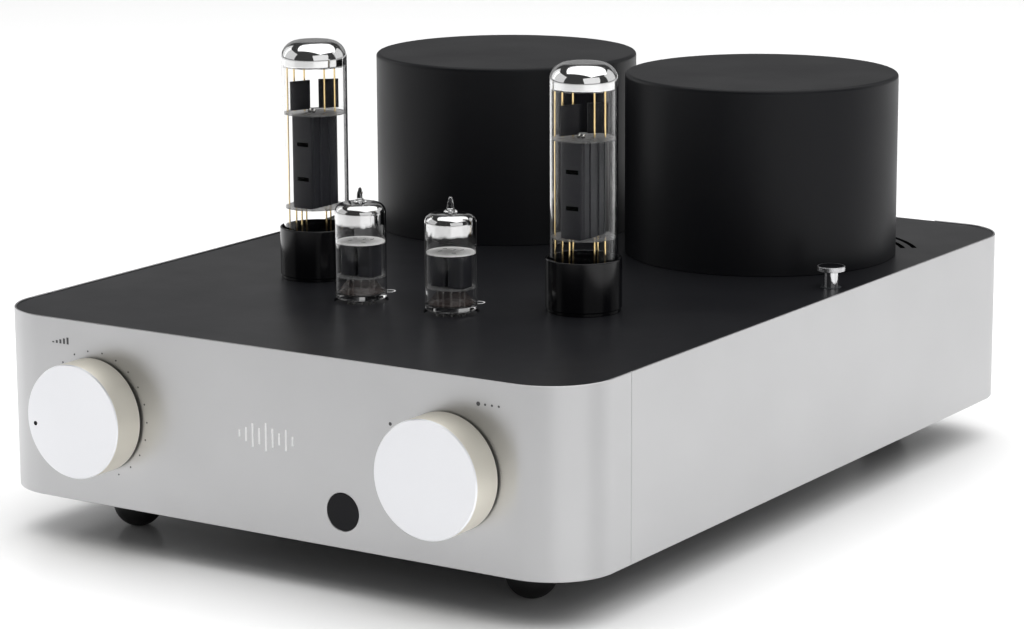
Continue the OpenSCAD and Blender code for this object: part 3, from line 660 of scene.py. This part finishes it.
def add_mirror(valve, x, y, bulb, bottom, material):
    """The getter mirror: a thin skin just inside the bulb's inner wall, from its crown down to bottom."""
    skin = 0.03 * MM
    gap = bulb["wall"] + skin
    walls = []
    for inset in (gap, gap + skin):
        walls.append([(bulb["radius"] - inset, bottom)] + bulb_profile(bulb, bottom, inset)[3:])
    bm = lathe(walls[0] + walls[1][::-1], upright_at(x, y, 0), 128)
    add_piece(valve + "_getter", bm, valve, material, crease=60)


def rod(bm, foot, length, radius, segments):
    """Adds an upright rod to a bmesh, from its foot."""
    middle = Matrix.Translation(foot) @ Matrix.Translation((0, 0, length / 2))
    bmesh.ops.create_cone(bm, cap_ends=True, segments=segments, radius1=radius, radius2=radius,
                          depth=length, matrix=middle)


def turn_in_place(bm, verts, x, y, z, angle):
    """Turns vertices made at the origin about their own Z, then moves them to their place."""
    turn = Matrix.Translation((x, y, z)) @ Matrix.Rotation(angle, 4, "Z")
    bmesh.ops.transform(bm, matrix=turn, verts=verts)


for side_name in ("left", "right"):
    valve = "power_valve_" + side_name
    bulb_low, bulb_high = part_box(valve + "_bulb")
    x, y = (bulb_low.x + bulb_high.x) / 2, (bulb_low.y + bulb_high.y) / 2
    add_bulb(valve, x, y, power_bulb, bulb_low.z, bulb_low.z + 6 * MM)
    add_mirror(valve, x, y, power_bulb, power_mirror_bottom, power_mirror)

    base_profile = fillet([
        (0, 0, 0), (base_radius - 0.5 * MM, 0, 0), (base_radius - 0.5 * MM, 1.2 * MM, 0.2 * MM),
        (base_radius, 1.6 * MM, 0.3 * MM), (base_radius, base_tall, 0.5 * MM), (recess, base_tall, 0.3 * MM),
        (recess, base_tall - base_lip, 0), (bore, base_tall - base_lip, 0), (bore, base_floor, 0),
        (0, base_floor, 0),
    ])
    base_bm = lathe(base_profile, upright_at(x, y, base_foot), 96)
    key_top = base_foot + 0.5 * MM
    rod(base_bm, (x, y, base_low.z), key_top - base_low.z, key_radius, 32)
    flat_box(base_bm, (x - 0.8 * MM, y + 3.5 * MM, base_low.z), (x + 0.8 * MM, y + 4.9 * MM, key_top))
    add_piece(valve + "_moulded_base", base_bm, valve, base_black, [valve + "_base"])
    finish_node(valve + "_pins", nickel)

    # The anode is a flat tube folded from sheet, with two broad and two narrow ribs pressed along each side.
    anode_bm = rounded_block((x - anode_half_x, y - anode_half_y, anode_low.z),
                             (x + anode_half_x, y + anode_half_y, anode_top), fold, 6)
    for rib_side in (-1, 1):
        for rib_y, rib_radius in ((-8.4, 0.35), (-3.4, 0.6), (3.4, 0.6), (8.4, 0.35)):
            rod(anode_bm, (x + rib_side * anode_half_x, y + rib_y * MM, anode_low.z), anode_top - anode_low.z,
                rib_radius * MM, 16)
    add_piece(valve + "_folded_anode", anode_bm, valve, anode_grey, [valve + "_anode"])

    # The slots are not cut through the anode: a thin black sheet laid over each is painted shade for the dark
    # seen through it.
    slot_shade_bm = bmesh.new()
    for slot_z in (plate_top + 44.8 * MM, plate_top + 60.4 * MM):
        for wall_side in (-1, 1):
            slot_y = y + wall_side * (anode_half_y + slot_skin)
            flat_box(slot_shade_bm, (x - 2.4 * MM, slot_y - slot_skin, slot_z),
                     (x + 3.7 * MM, slot_y + slot_skin, slot_z + slot_tall))
    add_piece(valve + "_anode_slot_shade", slot_shade_bm, valve, slot_painted_shade)

    # Each fin: its place from the bulb's axis and half its width, in millimetres, and its turn in degrees.
    fins_bm = bmesh.new()
    for fin_x, fin_y, fin_half, fin_turn in ((-3.5, -5.9, 4.9, 66), (3.5, 5.9, 4.5, 42)):
        made = flat_box(fins_bm, (-fin_half * MM, -fin_half_thick, mica_high.z + 1.4 * MM),
                        (fin_half * MM, fin_half_thick, anode_high.z))
        turn_in_place(fins_bm, made, x + fin_x * MM, y + fin_y * MM, 0, math.radians(fin_turn))
    add_piece(valve + "_fins", fins_bm, valve, fin_grey)

    mica_bm = bmesh.new()
    for mica_z in (mica_low.z, mica_high.z - mica_thick):
        rod(mica_bm, (x, y, mica_z), mica_thick, mica_radius, 48)
        for tooth in range(mica_teeth):
            made = flat_box(mica_bm, (mica_radius - 0.8 * MM, -0.7 * MM, 0),
                            (mica_radius + 0.1 * MM, 0.7 * MM, mica_thick))
            turn_in_place(mica_bm, made, x, y, mica_z, math.tau * tooth / mica_teeth)
    add_piece(valve + "_mica_discs", mica_bm, valve, mica, [valve + "_micas"])

    # Each rod: its place from the bulb's axis, then its foot and its top above the plate, in millimetres.
    rods_bm = bmesh.new()
    rod_places = ((-8.1, -4.15, 75, 97), (-4.6, -1.25, 75, 94), (4.6, 1.25, 75, 94), (8.1, 4.15, 75, 97),
                  (-8.1, -4.15, 9, 32), (-4.6, -1.25, 9, 32), (4.6, 1.25, 9, 32), (8.1, 4.15, 9, 32),
                  (-2.4, -7.6, 9, 32), (2.4, 7.6, 9, 32), (-11.4, -5.0, 9, 97))
    for rod_x, rod_y, rod_foot, rod_top in rod_places:
        rod(rods_bm, (x + rod_x * MM, y + rod_y * MM, plate_top + rod_foot * MM), (rod_top - rod_foot) * MM,
            gilt_radius, 12)
    add_piece(valve + "_gilt_rods", rods_bm, valve, gilt, [valve + "_rods"])

    caps_bm = bmesh.new()
    for cap_x in (-1.3, 0.9):
        cap_place = upright_at(x + cap_x * MM, y - 2.0 * MM, mica_high.z + 1.0 * MM)
        bmesh.ops.create_uvsphere(caps_bm, u_segments=20, v_segments=12, radius=1.1 * MM, matrix=cap_place)
    add_piece(valve + "_cathode_caps", caps_bm, valve, nickel)

# Each small valve is one bulb sealed onto nine wires, with a pumping tip on top. Its two anodes stand
# between pale mica discs, and the getter mirror covers its dome.
small_low, small_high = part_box("small_valve_left_bulb")
small_radius = (small_high.x - small_low.x) / 2
small_glass = clear_glass("small_bulb_glass", 0.22)
small_bulb = {
    "radius": small_radius, "top": plate_top + 43.4 * MM, "shoulder": 4.2 * MM, "crown": 0.8 * MM,
    "wall": 0.5 * MM, "glass": small_glass,
}
tip_foot = small_bulb["top"] - 0.1 * MM
tip_tall = small_high.z - tip_foot
small_mirror = getter_mirror("small_getter", plate_top + 33.4 * MM, 1.3 * MM, 0.62)
small_mirror_bottom = plate_top + 31.0 * MM
small_mica = surface("pale_mica", (0.88, 0.875, 0.86), 0.4, vary=0.08, vary_scale=300.0)
# Painted shade: the press is coloured dark brown and half clear, darker than the clear glass it is made of,
# to shade the bulb's floor.
press_glass_painted_shade = surface("press_glass_painted_shade", (0.05, 0.030, 0.024), 0.25, vary=0.1, vary_scale=400.0)
press_glass_painted_shade.node_tree.nodes["Principled BSDF"].inputs["Alpha"].default_value = 0.35
mica_low, mica_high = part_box("small_valve_left_micas")
mica_radius = small_radius - small_bulb["wall"] - 0.06 * MM
upper_thick = 0.5 * MM
lower_thick = 0.3 * MM
for side_name in ("left", "right"):
    valve = "small_valve_" + side_name
    bulb_low, bulb_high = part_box(valve + "_bulb")
    x, y = (bulb_low.x + bulb_high.x) / 2, (bulb_low.y + bulb_high.y) / 2
    add_bulb(valve, x, y, small_bulb, bulb_low.z, bulb_low.z + 2 * MM)
    add_mirror(valve, x, y, small_bulb, small_mirror_bottom, small_mirror)
    tip_profile = fillet([
        (0, 0, 0), (3.0 * MM, 0, 0), (2.6 * MM, 0.7 * MM, 0.3 * MM), (1.5 * MM, 1.0 * MM, 0.4 * MM),
        (1.35 * MM, 3.6 * MM, 1.0 * MM), (0.55 * MM, tip_tall, 0.4 * MM), (0, tip_tall, 0),
    ], 5)
    add_piece(valve + "_tip", lathe(tip_profile, upright_at(x, y, tip_foot), 48), valve,
              small_glass, crease=60)
    finish_node(valve + "_pins", nickel)
    finish_node(valve + "_anodes", anode_grey)
    upper_bm = bmesh.new()
    rod(upper_bm, (x, y, mica_high.z - upper_thick), upper_thick, mica_radius, 64)
    add_piece(valve + "_upper_mica", upper_bm, valve, small_mica, [valve + "_micas"])
    lower_bm = bmesh.new()
    rod(lower_bm, (x, y, mica_low.z), lower_thick, mica_radius, 64)
    add_piece(valve + "_lower_mica", lower_bm, valve, mica)
    # Each slot in the upper mica is a thin black sheet, painted shade for the dark seen through it: its place
    # from the bulb's axis in millimetres, and its turn in degrees.
    slot_shade_bm = bmesh.new()
    slot_places = ((-4.2, -2.0, 60), (-0.5, 3.5, 80), (3.5, -3.0, 20), (2.5, 5.0, 70), (-5.5, 3.5, 40))
    for slot_x, slot_y, slot_turn in slot_places:
        made = flat_box(slot_shade_bm, (-0.9 * MM, -0.25 * MM, 0), (0.9 * MM, 0.25 * MM, 0.05 * MM))
        turn_in_place(slot_shade_bm, made, x + slot_x * MM, y + slot_y * MM, mica_high.z, math.radians(slot_turn))
    add_piece(valve + "_mica_slot_shade", slot_shade_bm, valve, slot_painted_shade)
    # The glass press is a half-clear dark cone whose flat foot spreads almost to the bulb's wall. The press
    # is real; its darkness and its wide foot are painted shade over the bulb's floor.
    press_shade_profile = fillet([(0, 0, 0), (10.2 * MM, 0, 0.4 * MM), (9.0 * MM, 1.6 * MM, 1.0 * MM),
                            (5.5 * MM, 6.5 * MM, 1.0 * MM), (0, 6.8 * MM, 0)])
    add_piece(valve + "_glass_press_shade", lathe(press_shade_profile, upright_at(x, y, plate_top + 3.4 * MM), 48), valve,
              press_glass_painted_shade)

# The sockets are moulded, with gilt contacts, and sit flush in the plate. Beside each small one a ring
# is printed on the plate.
socket_black = surface("socket_black", (0.010, 0.010, 0.011), 0.4, vary=0.05)
for socket_node in ("octal_sockets", "noval_sockets"):
    finish_node(socket_node, socket_black)
finish_node("socket_contacts", gilt)
ring_y = front_y + 122.7 * MM
ring_in, ring_out = 2.3 * MM, 2.9 * MM
ring_profile = [(ring_in, 0), (ring_out, 0), (ring_out, ink_depth), (ring_in, ink_depth)]
rings_bm = bmesh.new()
for side_name in ("left", "right"):
    socket_low, socket_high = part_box("small_valve_" + side_name + "_bulb")
    ring_place = upright_at((socket_low.x + socket_high.x) / 2, ring_y, plate_top)
    join_shape(rings_bm, lathe(ring_profile, ring_place, 32, closed=True))
add_piece("printed_rings", rings_bm, "chassis", ink_white)

# The power button is a steel mushroom, turned and polished, with a black inlay sunk into its cap. Its
# stem passes through the plate and pushes down on the switch.
button_low, button_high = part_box("power_button")
button_x, button_y = (button_low.x + button_high.x) / 2, (button_low.y + button_high.y) / 2
cap_radius = (button_high.x - button_low.x) / 2
stem_radius = 3.2 * MM
cap_top = button_high.z - button_low.z
cap_foot = cap_top - 2.2 * MM
inlay_radius = cap_radius - 0.7 * MM
inlay_z = cap_top - 0.15 * MM
polished = surface("polished_steel", (0.62, 0.62, 0.63), 0.12, metallic=1.0, vary=0.03, vary_scale=200.0)
satin_cap = surface("satin_cap", (0.55, 0.55, 0.56), 0.34, metallic=1.0, vary=0.03, vary_scale=200.0)
button_profile = fillet([
    (0, inlay_z, 0), (inlay_radius, inlay_z, 0), (inlay_radius, cap_top, 0), (cap_radius, cap_top, 0.25 * MM),
    (cap_radius, cap_foot, 0.3 * MM), (stem_radius, cap_foot, 0.3 * MM), (stem_radius, 0, 0), (0, 0, 0),
])
button_bm = lathe(button_profile, upright_at(button_x, button_y, button_low.z), 96)
for face in button_bm.faces:
    middle = face.calc_center_median()
    reach = math.hypot(middle.x - button_x, middle.y - button_y)
    if middle.z > button_high.z - 0.3 * MM and reach < inlay_radius:
        face.material_index = 2
    elif middle.z > button_low.z + cap_foot - 0.1 * MM:
        face.material_index = 1
button = add_piece("mushroom_button", button_bm, "power_button", polished, ["power_button"])
button.data.materials.append(satin_cap)
button.data.materials.append(ink_black)

# The rear connectors are bought-in parts: a moulded mains inlet with a fuse drawer, gilt phono sockets,
# and gilt speaker posts with red and black screw caps.
inlet_black = surface("inlet_black", (0.010, 0.010, 0.011), 0.42, grain=(1200.0, 0.00002), vary=0.05)
for inlet_node in ("mains_inlet", "fuse_drawer"):
    finish_node(inlet_node, inlet_black)
gold_plate = surface("gold_plate", (0.95, 0.68, 0.28), 0.16, metallic=1.0, vary=0.04, vary_scale=120.0)
for gold_node in ("input_jacks", "speaker_posts"):
    finish_node(gold_node, gold_plate)
cap_red = surface("cap_red", (0.35, 0.008, 0.012), 0.18, vary=0.04)
cap_black = surface("cap_black", (0.010, 0.010, 0.010), 0.18, vary=0.04)
for number in range(1, 5):
    finish_node("post_cap_%d" % number, cap_red if number % 2 else cap_black)
